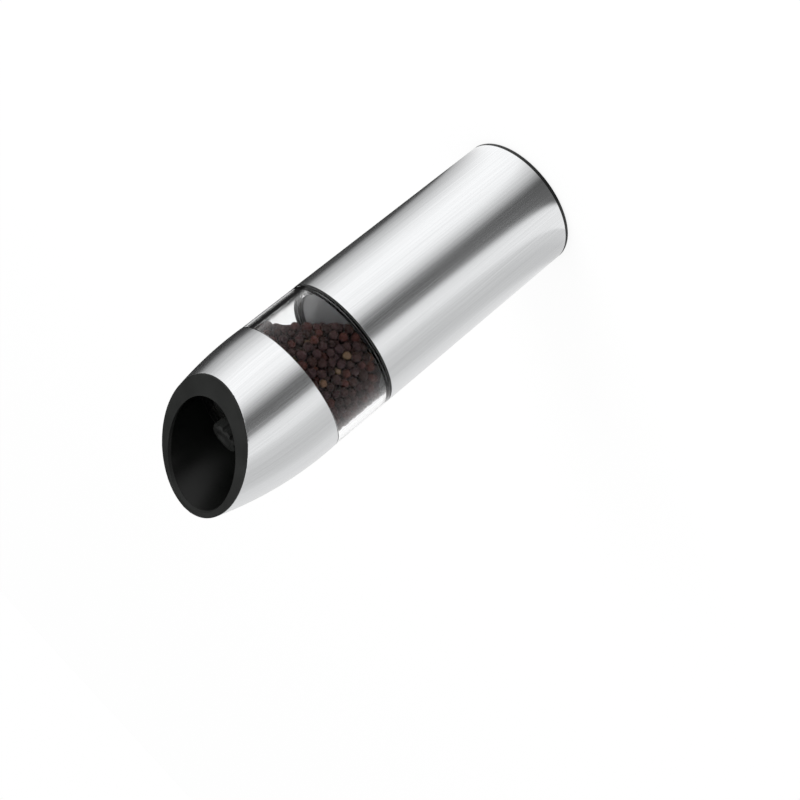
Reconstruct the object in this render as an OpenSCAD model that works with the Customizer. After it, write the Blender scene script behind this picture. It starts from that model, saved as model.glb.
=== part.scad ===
// Battery pepper mill that grinds by itself when it is tipped over its slanted mouth.
// It stands upright on its base. Origin: centre of the base, +Z towards the mouth,
// +Y towards the long side of the nose. All sizes are in millimetres.

/* [Steel sleeve and base] */
// Outer diameter of the steel sleeve
body_d = 56; // [54:0.5:62]
// Length of the steel sleeve
sleeve_len = 98; // [97:0.5:112]
// Wall of the steel sleeve
sleeve_wall = 0.8; // [0.6:0.1:1.0]
// Height of the base cap that shows below the sleeve
cap_show = 1.6; // [1.4:0.1:3]
// How far the foot ring stands out of the base cap
foot_drop = 0.4; // [0.2:0.1:0.6]
// Mean radius of the foot ring
foot_r = 22; // [18:0.5:23.5]
// Width of the foot ring
foot_w = 3; // [2:0.5:4]

/* [Pepper window] */
// Height of the clear window
window_len = 27; // [24:0.5:40]
// Wall of the clear window
window_wall = 2.6; // [1.8:0.1:3.2]
// How far the window's face lies inside the sleeve's face
window_inset = 0.1; // [0.05:0.05:0.4]
// Height of the rubber seal between sleeve and window
seal_show = 0.6; // [0.4:0.1:1.2]

/* [Nose] */
// Height of the mouth's plane above the nose's lower edge, on the mill's axis
mouth_rise = 42.4; // [41:0.2:48]
// Slant of the mouth from level, in degrees
mouth_slant = 34.3; // [28:0.1:36]
// Radius of the nose's long side curve
nose_curve_r = 144; // [120:1:220]
// Wall of the steel nose
nose_wall = 0.7; // [0.5:0.1:0.9]
// Thickness of the mouth ring over the cut edge of the nose
ring_lip = 1.2; // [0.8:0.1:1.6]
// Depth of the mouth ring's skirt inside the nose
ring_skirt = 5; // [3:0.5:6]
// Width between the mouth's opening and the sleeve's radius
mouth_edge = 9.9; // [9.5:0.1:10.5]
// How far the opening sits towards the short side
mouth_shift = 1.2; // [0.8:0.1:1.6]

/* [Grinder] */
// Height of the coarse teeth, where whole corns are broken
coarse_h = 9; // [7:0.5:10]
// Height of the fine teeth, where the grind is set
fine_h = 5; // [4:0.5:6]
// Largest radius of the turning cone
cone_r = 12.2; // [11:0.1:12.6]
// Gap between the cone and the ring when set to the finest grind
grind_gap = 0.4; // [0.3:0.05:0.6]
// How far the cone drops when set to the coarsest grind
grind_travel = 0.8; // [0.4:0.1:0.9]
// Number of coarse teeth on the cone
cone_coarse = 7; // [5:1:9]
// Number of fine teeth on the cone
cone_fine = 30; // [20:1:36]
// Outer radius of the fixed grinding ring
stator_r = 15.5; // [15:0.1:16]
// Width across the flats of the drive shaft
shaft_af = 5; // [4:0.1:5.5]
// Radius of the adjusting knob
knob_r = 6.5; // [6:0.1:8]
// Height of the adjusting knob
knob_h = 4.5; // [4:0.5:6]

/* [Motor and gears] */
// Diameter of the motor's can
motor_d = 20.4; // [19:0.1:21]
// Width of the motor's can across its flats
motor_flat = 15.4; // [14.5:0.1:16]
// Length of the motor with its end bell
motor_len = 25; // [23:0.5:25.5]
// Gear module: pitch diameter divided by the number of teeth
gear_m = 0.5; // [0.48:0.01:0.52]
// Teeth on each sun gear
sun_z = 12; // [12:6:12]
// Teeth on each planet gear
planet_z = 18; // [18:6:18]
// Face width of the gears
gear_w = 3.6; // [3:0.1:3.8]
// Radius of the gearbox housing
gearbox_r = 15.5; // [14.5:0.1:16]

/* [Battery tray] */
// Diameter of one battery cell
cell_d = 10.5; // [10:0.1:10.8]
// Length of one battery cell
cell_len = 44.5; // [43:0.1:45]
// Radius of the circle that the cells stand on
cell_ring_r = 13.6; // [13:0.1:14.2]
// Radius of the battery tray
tray_r = 21; // [20.5:0.1:21.5]

/* [Bayonets] */
// Turn that frees the head or the base cap, in degrees
unlock_turn = 30; // [20:1:35]
// Width of one bayonet lug, in degrees
lug_turn = 24; // [16:1:28]
// How far a bayonet lug stands out
lug_out = 1.1; // [0.8:0.1:1.2]

/* [Hidden] */
$fn = 96;
eps = 0.01;
far = 200;

// Clearances between pieces
slip = 0.1;
run = 0.05;
gap = 0.2;
wide_gap = 0.3;

// Heights from the base up
body_r = body_d / 2;
cap_z = foot_drop;
cap_floor = 2;
foot_sink = 0.8;
sleeve_z = cap_z + cap_show;
sleeve_top = sleeve_z + sleeve_len;
window_z = sleeve_top + seal_show;
window_top = window_z + window_len;
nose_z = window_top + slip;
mouth_z = nose_z + mouth_rise;
mouth_r = body_r - mouth_edge;

// Inner chassis and base cap
bore_r = body_r - sleeve_wall;
chassis_r = bore_r - slip;
chassis_wall = 1.6;
rib_w = 1.6;
rib_root = 0.5;
chassis_in = chassis_r - chassis_wall;
plug_r = chassis_in - gap;
plug_wall = 2;
plug_top = sleeve_z + 6.2;
lug_h = 2;
lug_count = 3;
lug_play = 3;
lug_root = 0.5;
cap_lug_z = sleeve_z + 3.2;
coin_slot = [20, 2, 0.9];

// Battery tray
plate_t = 1.4;
contact_t = 0.3;
leaf_rise = 0.8;
tray_z = cap_z + cap_floor + wide_gap;
cell_z = tray_z + plate_t + contact_t + leaf_rise;
nub_h = 0.9;
nub_r = 1.9;
cell_top = cell_z + cell_len;
tray_top = cell_top + leaf_rise + contact_t + plate_t;
column_r = 6;
web_t = 1.4;
cell_count = 6;
bridge_r = cell_ring_r * cos(30);
bridge_w = 3;

// Motor bay
bulkhead_z = tray_top + wide_gap;
bulkhead_t = 1.6;
bay_z = bulkhead_z + bulkhead_t;
motor_z = bay_z + slip;
bell_h = 3;
motor_top = motor_z + motor_len;
motor_plate_t = 1.2;
boss_r = 2.8;
boss_ring_r = chassis_in - boss_r - 1.7;
plate_screw_len = 7;
pilot_r = 0.9;
pilot_deep = 8;
motor_shaft_r = 1;
motor_boss_r = 3;
motor_shaft_in = 7;
motor_screw_x = 6;
motor_screw_in = 2.6;
cradle_wall = 1.4;
cradle_h = 6;
strip_t = 0.4;
strip_w = 3;
strip_x = 5;
strip_y = -13.6;
terminal_up = 3;
board_room = 0.4;
board_y = motor_d / 2 + cradle_wall + board_room;
board_t = 1.2;
board_w = 22;
board_h = 19;
rail = [3, 4, 10];
rail_out = 0.8;
switch_r = 3.6;
switch_wall = 0.8;
switch_head = 2.6;
switch_z = bay_z + 3;
switch_y = board_y + board_t + switch_r + gap;
ball_r = 2.6;
ball_travel = 5;
ball_z = switch_z + switch_wall + ball_r;
ball_top_z = ball_z + ball_r + ball_travel;
switch_len = ball_top_z - switch_z + switch_head;
switch_pin_x = 1.3;
switch_pin_r = 0.35;
switch_pin_up = 1.2;

// Planetary gears, two equal stages
ring_z = sun_z + 2 * planet_z;
pressure = 25;
tip_k = 0.9;
root_k = 1.2;
backlash = 0.1;
planet_count = 3;
planet_arm = gear_m * (sun_z + planet_z) / 2;
pin_r = 1;
carrier_r = planet_arm + 3;
carrier_t = 1.1;
box_z = motor_top + motor_plate_t;
stage_h = gear_w + carrier_t + 2 * gap + slip;
box_top = box_z + 2 * stage_h + 2 * gap;
box_cover_t = 1.4;
hub_r = 4.6;
hub_up = 2.6;
box_screw_r = 0.8;
ear_ring_r = gearbox_r + 0.9;
ear_r = 2.3;
function stage_z(stage) = box_z + gap + slip + (stage - 1) * (stage_h + slip);
hub_z = stage_z(2) + gear_w + gap;

// Top of the motor unit
collar_floor_t = 1.6;
collar_h = 9.6;
collar_z = sleeve_top - collar_h;
neck_r = chassis_in - 1;
neck_wall = 1.8;
neck_in = neck_r - neck_wall;
neck_len = 6;
neck_z = window_z - neck_len;
neck_lug_z = neck_z + 0.8;
collar_in = neck_r + gap;
floor_r = neck_in - wide_gap;
floor_t = 1.8;
floor_top = window_z - 1.2;
floor_skirt = 1.4;
seal_r = 7;
seal_wall = 1.4;
seal_cap = 1;
seam_inset = 0.35;

// Window, shaft and grinder
window_r = body_r - window_inset;
window_in = window_r - window_wall;
nose_neck = 2.4;
nose_straight = 4;
sleeve_tube_r = 4.5;
spring_wire = 0.8;
spring_r = 3.6;
spring_turns = 4;
hopper_z = window_top + nose_neck;
burr_z = hopper_z + 3.5;
throat_z = burr_z + coarse_h;
burr_top = throat_z + fine_h;
cone_tip_r = 5.2;
throat_cone_r = cone_r - 1.6;
ring_coarse = 12;
ring_fine = 36;
coarse_skew = 28;
coarse_deep = 1.5;
coarse_half_w = 1.5;
ring_coarse_skew = 20;
ring_coarse_deep = 1.1;
ring_coarse_half_w = 0.9;
fine_skew = 20;
fine_deep = 0.5;
fine_half_w = 0.35;
stator_feed_r = stator_r - 2.6;
spring_z = burr_z - 8;
hopper_wall = 1.6;
flange_t = 2.4;
flange_w = 3;
hopper_lip = 0.4;
housing_r = body_r - nose_wall - wide_gap;
socket_wall = 1.8;

// Grind adjuster
bridge_ring_t = 4.2;
bridge_top = burr_top + bridge_ring_t;
bridge_hub_r = 6;
bridge_hub_top = bridge_top + 2.4;
arm_w = 3;
arm_turn = 100;
bush_flange_t = 1;
bush_flange_r = 4;
bush_sq = 5.6;
bush_stem_r = 2.2;
arm_z = burr_top + bush_flange_t + grind_travel + wide_gap;
bush_sq_top = arm_z + 1.4;
neck_seat_z = bush_sq_top + grind_travel + wide_gap;
bush_top = bridge_hub_top + 1.2;
shaft_pin_r = 1.2;
shaft_pin_up = 3.4;
knob_neck_r = 3.9;
knob_z = bridge_hub_top + gap;
knob_top = knob_z + knob_h;
knob_bevel = 0.8;
knob_grips = 10;
dish_depth = 1.2;
dish_r = 6.6;
screw_ring_r = 19.4;
screw_ear_t = 2.4;
screw_ear_r = 2.4;
bridge_screw_len = 9;

// Outlet funnel and mouth
funnel_wall = 1;
funnel_floor_t = 1.2;
ring_skirt_t = 1.4;
funnel_z = bridge_top + slip;
funnel_hole_r = stator_r - 2;

// Peppercorns: a heap whose surface is level while the mill is held tipped
corn_lean = [0.4551, -0.6749, -0.5809];
corn_level = -51.3;
corn_r = 2.35;
corn_room = 0.3;
corn_pitch = 2 * corn_r + corn_room;
corn_ring_r = window_in - corn_room - corn_r;
corn_row_z = window_z + window_wall + corn_room + corn_r;
corn_row_step = corn_pitch * sin(60);
lean_turn = atan2(corn_lean.y, corn_lean.x);
lean_tip = acos(corn_lean.z);
lean_across = [cos(lean_tip) * cos(lean_turn), cos(lean_tip) * sin(lean_turn), -sin(lean_tip)];
lean_along = [-sin(lean_turn), cos(lean_turn), 0];

// ---------------------------------------------------------------- shared shapes

module disc(r, z0, z1) {
  translate([0, 0, z0]) cylinder(r = r, h = z1 - z0);
}

module tube(r_out, r_in, z0, z1) {
  difference() {
    disc(r_out, z0, z1);
    disc(r_in, z0 - 1, z1 + 1);
  }
}

module around(n, r = 0, first = 0) {
  for (i = [0 : n - 1]) rotate(first + i * 360 / n) translate([r, 0, 0]) children();
}

module arc_block(r_in, r_out, z0, z1, turn) {
  rotate_extrude(angle = turn) translate([r_in, z0]) square([r_out - r_in, z1 - z0]);
}

module bar(size, z) {
  translate([-size.x / 2, -size.y / 2, z]) cube(size);
}

module hex(af, z0, z1) {
  translate([0, 0, z0]) rotate(30) cylinder(r = af / 2 / cos(30), h = z1 - z0, $fn = 6);
}

// A cross-head screw that points down from its seat
module screw(seat, len, shank_r, head_r = 1.8, head_h = 1.1) {
  slot = [head_r * 1.3, 0.5, 1];
  slot_z = seat + head_h - 0.6;
  difference() {
    union() {
      disc(head_r, seat, seat + head_h);
      disc(shank_r, seat - len, seat + eps);
    }
    bar(slot, slot_z);
    bar([slot.y, slot.x, slot.z], slot_z);
  }
}

// Grooves of a bayonet: each lug enters from the open end and turns along its groove.
// The entry is cut a little deeper, so that its faces don't lie in the groove's faces.
module bayonet_grooves(r_in, r_out, z0, z1, entry_z) {
  mid_z = (z0 + z1) / 2;
  for (i = [0 : lug_count - 1]) rotate(i * 360 / lug_count) {
    arc_block(r_in, r_out, z0, z1, unlock_turn + lug_turn + lug_play);
    rotate(unlock_turn - 0.5) arc_block(r_in - 0.3, r_out + 0.1, min(mid_z, entry_z),
                                        max(mid_z, entry_z), lug_turn + lug_play);
  }
}

module bayonet_lugs(r_in, r_out, z0, z1) {
  for (i = [0 : lug_count - 1]) rotate(i * 360 / lug_count + lug_play / 2)
    arc_block(r_in, r_out, z0, z1, lug_turn);
}

// ---------------------------------------------------------------- gear teeth

function involute_deg(base_r, r) =
  let (a = acos(min(1, base_r / r))) tan(a) * 180 / PI - a;

// Angle from the middle of a tooth to its flank at radius r
function flank_deg(z, r, slack) =
  let (pitch_r = gear_m * z / 2, base_r = pitch_r * cos(pressure))
  90 / z - slack / 2 / pitch_r * 180 / PI
  + involute_deg(base_r, pitch_r) - involute_deg(base_r, max(r, base_r));

function tooth_points(z, radii, slack, at) = [
  for (r = radii) let (a = at - flank_deg(z, r, slack)) r * [cos(a), sin(a)],
  for (i = [len(radii) - 1 : -1 : 0])
    let (r = radii[i], a = at + flank_deg(z, r, slack)) r * [cos(a), sin(a)]
];

// Outline of a gear with z teeth between two radii, with the first tooth along +X
module gear_outline(z, root_r, tip_r, slack) {
  steps = 3;
  radii = [for (i = [0 : steps]) root_r + (tip_r - root_r) * i / steps];
  polygon([for (k = [0 : z - 1]) each tooth_points(z, radii, slack, k * 360 / z)]);
}

module outer_gear(z, w) {
  pitch_r = gear_m * z / 2;
  linear_extrude(w)
    gear_outline(z, pitch_r - root_k * gear_m, pitch_r + tip_k * gear_m, backlash);
}

module planet(stage, place) {
  rotate(place * 360 / planet_count) translate([planet_arm, 0, stage_z(stage)]) difference() {
    rotate(180 / planet_z) outer_gear(planet_z, gear_w);
    disc(pin_r + run, -1, gear_w + 1);
  }
}

// A planet carrier: its plate above the planets and one pin through each planet
module carrier_frame(stage) {
  plate_z = stage_z(stage) + gear_w + gap;
  disc(carrier_r, plate_z, plate_z + carrier_t);
  around(planet_count, planet_arm) disc(pin_r, stage_z(stage), plate_z + eps);
}

// ---------------------------------------------------------------- base and battery

module foot_ring() color("#1C1C1C") tube(foot_r + foot_w / 2, foot_r - foot_w / 2, 0, cap_z + foot_sink);

module base_cap() color("#1E1E1F") {
  edge = 0.6;
  difference() {
    union() {
      rotate_extrude() polygon([
        [0, cap_z], [body_r - edge, cap_z], [body_r - edge * 0.3, cap_z + edge * 0.3],
        [body_r, cap_z + edge], [body_r, sleeve_z], [plug_r, sleeve_z],
        [plug_r, cap_z + cap_floor], [0, cap_z + cap_floor]
      ]);
      tube(plug_r, plug_r - plug_wall, cap_z + cap_floor - eps, plug_top);
      mirror([0, 1, 0])
        bayonet_lugs(plug_r - lug_root, chassis_in + lug_out - gap, cap_lug_z, cap_lug_z + lug_h);
    }
    tube(foot_r + foot_w / 2, foot_r - foot_w / 2, cap_z - 1, cap_z + foot_sink);
    bar([coin_slot.x, coin_slot.y, coin_slot.z + 1], cap_z - 1);
  }
}

module battery_tray() color("#2B2B2D") difference() {
  union() {
    disc(tray_r, tray_z, tray_z + plate_t);
    disc(tray_r, tray_top - plate_t, tray_top);
    disc(column_r, tray_z, tray_top);
    around(cell_count, 0, 30) translate([column_r - 1, -web_t / 2, tray_z])
      cube([tray_r - column_r, web_t, tray_top - tray_z]);
  }
  disc(column_r - 1.4, tray_z - 1, tray_top + 1);
  around(cell_count, cell_ring_r) disc(nub_r + 0.6, tray_top - plate_t - 1, tray_top + 1);
  for (z = [tray_z + plate_t - eps, tray_top - plate_t - contact_t - gap])
    around(cell_count, 0, 30) translate([bridge_r - bridge_w / 2 - gap, -web_t, z])
      cube([bridge_w + 2 * gap, 2 * web_t, contact_t + gap + eps]);
}

// One cell, with its plus nub up or down
module cell(up) {
  can_z = up ? cell_z : cell_z + nub_h;
  disc(cell_d / 2, can_z, can_z + cell_len - nub_h);
  if (up) disc(nub_r, cell_top - nub_h - eps, cell_top);
  else disc(nub_r, cell_z, cell_z + nub_h + eps);
}

module battery_cells() color("#B08D3C") {
  for (i = [0 : cell_count - 1]) rotate(i * 60) translate([cell_ring_r, 0, 0]) cell(i % 2 == 0);
}

// A contact plate under or over one cell, and its bent leaf that presses on the cell
module contact_pad(leaf_up) {
  leaf_r = 5.6;
  leaf_w = 3;
  leaf_turn = 2 * acos(1 - leaf_rise / leaf_r);
  disc(cell_d / 2 - 1.2, 0, contact_t);
  intersection() {
    translate([0, leaf_w / 2, (leaf_up ? contact_t + leaf_rise - leaf_r : leaf_r - leaf_rise)])
      rotate([90, 0, 0]) rotate((leaf_up ? 90 : 270) - leaf_turn / 2 - 8)
        rotate_extrude(angle = leaf_turn + 16)
          translate([leaf_r - contact_t, 0]) square([contact_t, leaf_w]);
    disc(cell_d, leaf_up ? eps : -leaf_rise, leaf_up ? contact_t + leaf_rise : contact_t);
  }
}

// Contact plates; a bridge joins cell first to the next one round
module contacts(z, leaf_up, bridges, singles) {
  translate([0, 0, z]) {
    for (first = bridges) {
      for (i = [first, first + 1])
        rotate(i * 60) translate([cell_ring_r, 0, 0]) contact_pad(leaf_up);
      rotate(first * 60 + 30)
        translate([bridge_r - bridge_w / 2, -cell_ring_r / 2, 0])
          cube([bridge_w, cell_ring_r, contact_t]);
    }
    for (i = singles) rotate(i * 60) translate([cell_ring_r, 0, 0]) contact_pad(leaf_up);
  }
}

module tray_contacts_lower() color("#C9CBCC")
  contacts(tray_z + plate_t, true, [0, 2, 4], []);

module tray_contacts_upper() color("#C9CBCC")
  contacts(tray_top - plate_t - contact_t, false, [1, 3], [0, 5]);

// ---------------------------------------------------------------- sleeve and chassis

module main_sleeve() color("#C4C6C8") {
  bevel = 0.25;
  rotate_extrude() polygon([
    [bore_r, sleeve_z], [body_r - bevel, sleeve_z], [body_r, sleeve_z + bevel],
    [body_r, sleeve_top - bevel], [body_r - bevel, sleeve_top], [bore_r, sleeve_top]
  ]);
}

module chassis() color("#333436") difference() {
  union() {
    tube(chassis_r, chassis_in, sleeve_z + gap, collar_z);
    disc(chassis_in + rib_root, bulkhead_z, bay_z);
    around(cell_count, 0, 30)
      translate([tray_r + wide_gap, -rib_w / 2, plug_top + gap])
        cube([chassis_in - tray_r, rib_w, bulkhead_z - plug_top]);
    around(3, boss_ring_r, 30) disc(boss_r, bay_z - eps, motor_top);
    around(3, 0, 30) translate([boss_ring_r, -rib_w / 2, bay_z - eps])
      cube([chassis_in - boss_ring_r + rib_root, rib_w, motor_top - bay_z]);
    motor_cradle();
    board_rails();
  }
  around(3, boss_ring_r, 30) disc(pilot_r, motor_top - pilot_deep, motor_top + 1);
  mirror([0, 1, 0])
    bayonet_grooves(chassis_in - 1, chassis_in + lug_out, cap_lug_z - gap,
                    cap_lug_z + lug_h + gap, sleeve_z - 1);
  for (x = [-1, 1]) translate([x * strip_x - 2, strip_y - 0.6, bulkhead_z - 1])
    cube([4, 1.2, bulkhead_t + 2]);
}

// Cup that holds the lower end of the motor, cut to the can's two flats
module motor_cradle() {
  difference() {
    disc(motor_d / 2 + cradle_wall, bay_z - eps, bay_z + cradle_h);
    intersection() {
      disc(motor_d / 2 + slip, bay_z - 1, bay_z + cradle_h + 1);
      bar([motor_d + 2, motor_flat + 2 * slip, cradle_h + 3], bay_z - 1);
    }
    for (x = [-1, 1]) translate([x * strip_x, -motor_d / 2, 0])
      bar([strip_w + 1, 8, cradle_h + 3], bay_z);
  }
}

// Two grooved posts that hold the edges of the control board
module board_rails() {
  for (x = [-1, 1]) difference() {
    translate([x * (board_w / 2 + rail_out), board_y + board_t / 2, 0]) bar(rail, bay_z - eps);
    translate([0, board_y + board_t / 2, 0])
      bar([board_w + 2 * slip, board_t + 2 * slip, rail.z + 2], bay_z - eps);
  }
}

// Two strips that carry the current from the tray's contacts to the motor's terminals
module power_strips() color("#C98B4A") for (x = [-1, 1]) translate([x * strip_x, strip_y, 0]) {
  foot = [strip_w, 6, strip_t];
  bar([strip_w, strip_t, motor_z + terminal_up - tray_top - gap], tray_top + gap);
  translate([0, foot.y / 2 - strip_t / 2, 0]) bar(foot, motor_z + terminal_up - eps);
}

module control_board() color("#2E6B3E") {
  chip = [5, 1.6, 6];
  chip_x = 7.4;
  chip_up = 9;
  translate([0, board_y + board_t / 2, 0]) bar([board_w, board_t, board_h], bay_z + gap);
  for (x = [-chip_x, chip_x])
    translate([x, board_y + board_t + chip.y / 2 - eps, 0]) bar(chip, bay_z + chip_up);
}

// ---------------------------------------------------------------- tilt switch

module tilt_switch_case() color("#D8D4C8") translate([0, switch_y, 0]) difference() {
  disc(switch_r, switch_z, switch_z + switch_len);
  disc(switch_r - switch_wall, switch_z + switch_wall, switch_z + switch_len - 1.6);
  for (x = [-1, 1]) translate([x * switch_pin_x, 0, 0])
    disc(switch_pin_r + run, switch_z + 5, switch_z + 20);
}

module tilt_switch_pins() color("#C9A648") translate([0, switch_y, 0])
  for (x = [-1, 1]) translate([x * switch_pin_x, 0, 0]) {
    disc(switch_pin_r, ball_top_z, switch_z + switch_len + switch_pin_up);
    rotate([90, 0, 0]) translate([0, switch_z + switch_len + switch_pin_up, 0])
      disc(switch_pin_r, 0, switch_r + gap);
  }

module tilt_ball() color("#D5D7D9")
  translate([0, switch_y, ball_z]) sphere(r = ball_r);

// ---------------------------------------------------------------- motor

module motor_outline(inset) intersection() {
  circle(r = motor_d / 2 - inset);
  square([motor_d, motor_flat - 2 * inset], center = true);
}

module motor_can() color("#B9BBBD") difference() {
  union() {
    translate([0, 0, motor_z + bell_h]) linear_extrude(motor_len - bell_h) motor_outline(0);
    disc(motor_boss_r, motor_top - eps, motor_top + motor_plate_t - slip);
  }
  disc(motor_shaft_r + run, motor_top - motor_shaft_in - 1, motor_top + 2);
  for (x = [-1, 1]) translate([x * motor_screw_x, 0, 0])
    disc(pilot_r, motor_top - motor_screw_in - 2 * gap, motor_top + 1);
}

module motor_end_bell() color("#E6E1D2") difference() {
  union() {
    translate([0, 0, motor_z]) linear_extrude(bell_h) motor_outline(0.1);
    for (x = [-1, 1]) translate([x * strip_x, -motor_flat / 2 - 1, 0])
      bar([strip_w - 1, 2, 0.5], motor_z + 1.6);
  }
  disc(2, motor_z - 1, motor_z + 1);
}

module motor_plate() color("#AEB0B2") difference() {
  union() {
    disc(gearbox_r, motor_top, motor_top + motor_plate_t);
    around(3, ear_ring_r, 90) disc(ear_r, motor_top, motor_top + motor_plate_t);
    around(3, boss_ring_r, 30) disc(boss_r + 0.4, motor_top, motor_top + motor_plate_t);
    around(3, 0, 30) translate([0, -boss_r, motor_top])
      cube([boss_ring_r, 2 * boss_r, motor_plate_t]);
  }
  disc(motor_boss_r + run, motor_top - 1, motor_top + 3);
  for (x = [-1, 1]) translate([x * motor_screw_x, 0, 0])
    disc(pilot_r + 0.1, motor_top - 1, motor_top + 3);
  around(3, boss_ring_r, 30) disc(pilot_r + 0.2, motor_top - 1, motor_top + 3);
  around(3, ear_ring_r, 90) disc(box_screw_r + slip, motor_top - 1, motor_top + 3);
}

// Countersunk screws that hold the motor to its plate
module motor_screws() color("#8E9092") for (x = [-1, 1]) translate([x * motor_screw_x, 0, 0])
  disc(pilot_r - run, motor_top - motor_screw_in, motor_top + motor_plate_t);

module plate_screws() color("#8E9092") around(3, boss_ring_r, 30)
  screw(motor_top + motor_plate_t, plate_screw_len, pilot_r - run);

module motor_shaft_sun() color("#D9DADB") {
  disc(motor_shaft_r, motor_top - motor_shaft_in, stage_z(1) + gear_w);
  translate([0, 0, stage_z(1)]) outer_gear(sun_z, gear_w);
}

// ---------------------------------------------------------------- gearbox

module ring_gear_housing() color("#D9D6CC") {
  pitch_r = gear_m * ring_z / 2;
  translate([0, 0, box_z]) difference() {
    linear_extrude(box_top - box_z) difference() {
      union() {
        circle(r = gearbox_r);
        around(3, ear_ring_r, 90) circle(r = ear_r);
      }
      rotate(180 / ring_z) gear_outline(ring_z, pitch_r - tip_k * gear_m,
                                        pitch_r + root_k * gear_m, -backlash);
      circle(r = pitch_r - tip_k * gear_m);
    }
    around(3, ear_ring_r, 90) disc(box_screw_r + slip, -1, box_top);
  }
}

module stage_1_planet_a() color("#EDEAE0") planet(1, 0);
module stage_1_planet_b() color("#EDEAE0") planet(1, 1);
module stage_1_planet_c() color("#EDEAE0") planet(1, 2);
module stage_2_planet_a() color("#EDEAE0") planet(2, 0);
module stage_2_planet_b() color("#EDEAE0") planet(2, 1);
module stage_2_planet_c() color("#EDEAE0") planet(2, 2);

// The first carrier turns the second stage's sun gear
module stage_1_carrier() color("#CFCBBE") {
  step = 2 * gap;
  carrier_frame(1);
  translate([0, 0, stage_z(2) - step - eps]) outer_gear(sun_z, gear_w + step + eps);
}

// The second carrier ends in a hub that drives the hexagonal shaft
module stage_2_carrier() color("#CFCBBE") difference() {
  union() {
    carrier_frame(2);
    disc(hub_r, hub_z, box_top + box_cover_t + hub_up);
  }
  hex(shaft_af + 2 * run, hub_z + carrier_t, floor_top);
}

module gearbox_cover() color("#D9D6CC") difference() {
  union() {
    disc(gearbox_r, box_top, box_top + box_cover_t);
    around(3, ear_ring_r, 90) disc(ear_r, box_top, box_top + box_cover_t);
    disc(hub_r + 2, box_top, box_top + box_cover_t + 1);
  }
  disc(hub_r + run, box_top - 1, box_top + 5);
  around(3, ear_ring_r, 90) disc(box_screw_r + slip, box_top - 1, box_top + 5);
}

// Long screws through the ears of the cover, the housing and the motor plate
module gearbox_screws() color("#8E9092") around(3, ear_ring_r, 90)
  screw(box_top + box_cover_t, box_top + box_cover_t - motor_top, box_screw_r, 1.5, 1);

// ---------------------------------------------------------------- top of the motor unit

// Collar inside the sleeve's upper end that the head's bayonet locks into
module bayonet_collar() color("#333436") difference() {
  union() {
    tube(chassis_r, collar_in, collar_z, sleeve_top);
    tube(chassis_r, ear_ring_r + ear_r + 1.2, collar_z, collar_z + collar_floor_t);
  }
  bayonet_grooves(collar_in - 1, collar_in + lug_out, neck_lug_z - gap,
                  neck_lug_z + lug_h + gap, sleeve_top + 1);
}

module reservoir_floor() color("#8C8E90") difference() {
  union() {
    disc(floor_r, floor_top - floor_t, floor_top);
    tube(floor_r, floor_r - floor_skirt, collar_z + collar_floor_t, floor_top - floor_t + eps);
    disc(seal_r + seal_wall, floor_top - floor_t - seal_cap, floor_top);
  }
  disc(sleeve_tube_r + gap, floor_top - floor_t - 2, floor_top + 1);
  disc(seal_r, floor_top - floor_t - 2, floor_top - seal_cap);
}

module shaft_seal() color("#2A2A2A")
  tube(seal_r, sleeve_tube_r + run, floor_top - floor_t - seal_cap, floor_top - seal_cap);

module seam_seal() color("#202020")
  tube(body_r - seam_inset, collar_in + lug_out + gap, sleeve_top, window_z);

module drive_shaft() color("#C9CCCE") {
  hex(shaft_af, hub_z + carrier_t, burr_top);
  disc(shaft_pin_r, burr_top - eps, burr_top + shaft_pin_up);
}

// Plastic tube that keeps the corns off the turning shaft
module shaft_sleeve() color("#3A3B3D") difference() {
  disc(sleeve_tube_r, box_top + box_cover_t + hub_up + gap, spring_z);
  hex(shaft_af + 2 * run, box_top, spring_z + 1);
}

// ---------------------------------------------------------------- head: window and corns

module window_container() color("#E4F0F2", 0.35) {
  rotate_extrude() polygon([
    [neck_r, neck_z], [neck_r, window_z], [window_r, window_z], [window_r, window_top],
    [housing_r, window_top], [housing_r, hopper_z], [window_in, hopper_z],
    [window_in, window_z + window_wall], [neck_in, window_z], [neck_in, neck_z]
  ]);
  bayonet_lugs(neck_r - lug_root, collar_in + lug_out - gap, neck_lug_z, neck_lug_z + lug_h);
}

// A spot for a corn's centre under the heap's level face
function face_spot(u, v) =
  (corn_level - corn_r) * corn_lean + u * lean_across + v * lean_along;

// Single corns that lie against the window, row over row
module wall_corns() {
  rows = floor((hopper_z - corn_room - corn_r - corn_row_z) / corn_row_step);
  count = floor(180 / asin(corn_pitch / 2 / corn_ring_r));
  for (k = [0 : rows]) for (i = [0 : count - 1])
    let (turn = (i + k % 2 / 2) * 360 / count,
         spot = [corn_ring_r * cos(turn), corn_ring_r * sin(turn), corn_row_z + k * corn_row_step])
    if (spot * corn_lean < corn_level - corn_r) translate(spot) corn();
}

// Single corns that lie in the heap's level face, inside the rows on the wall
module face_corns() {
  reach = ceil(body_r / corn_row_step);
  for (j = [-reach : reach]) for (i = [-2 * reach : 2 * reach])
    let (spot = face_spot((i + abs(j) % 2 / 2) * corn_pitch, j * corn_row_step),
         r = norm([spot.x, spot.y]))
    if (r < corn_ring_r - corn_pitch && r > sleeve_tube_r + corn_r + corn_room
        && spot.z > floor_top + corn_room + corn_r) translate(spot) corn();
}

module corn() sphere(r = corn_r, $fn = 6);

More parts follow.
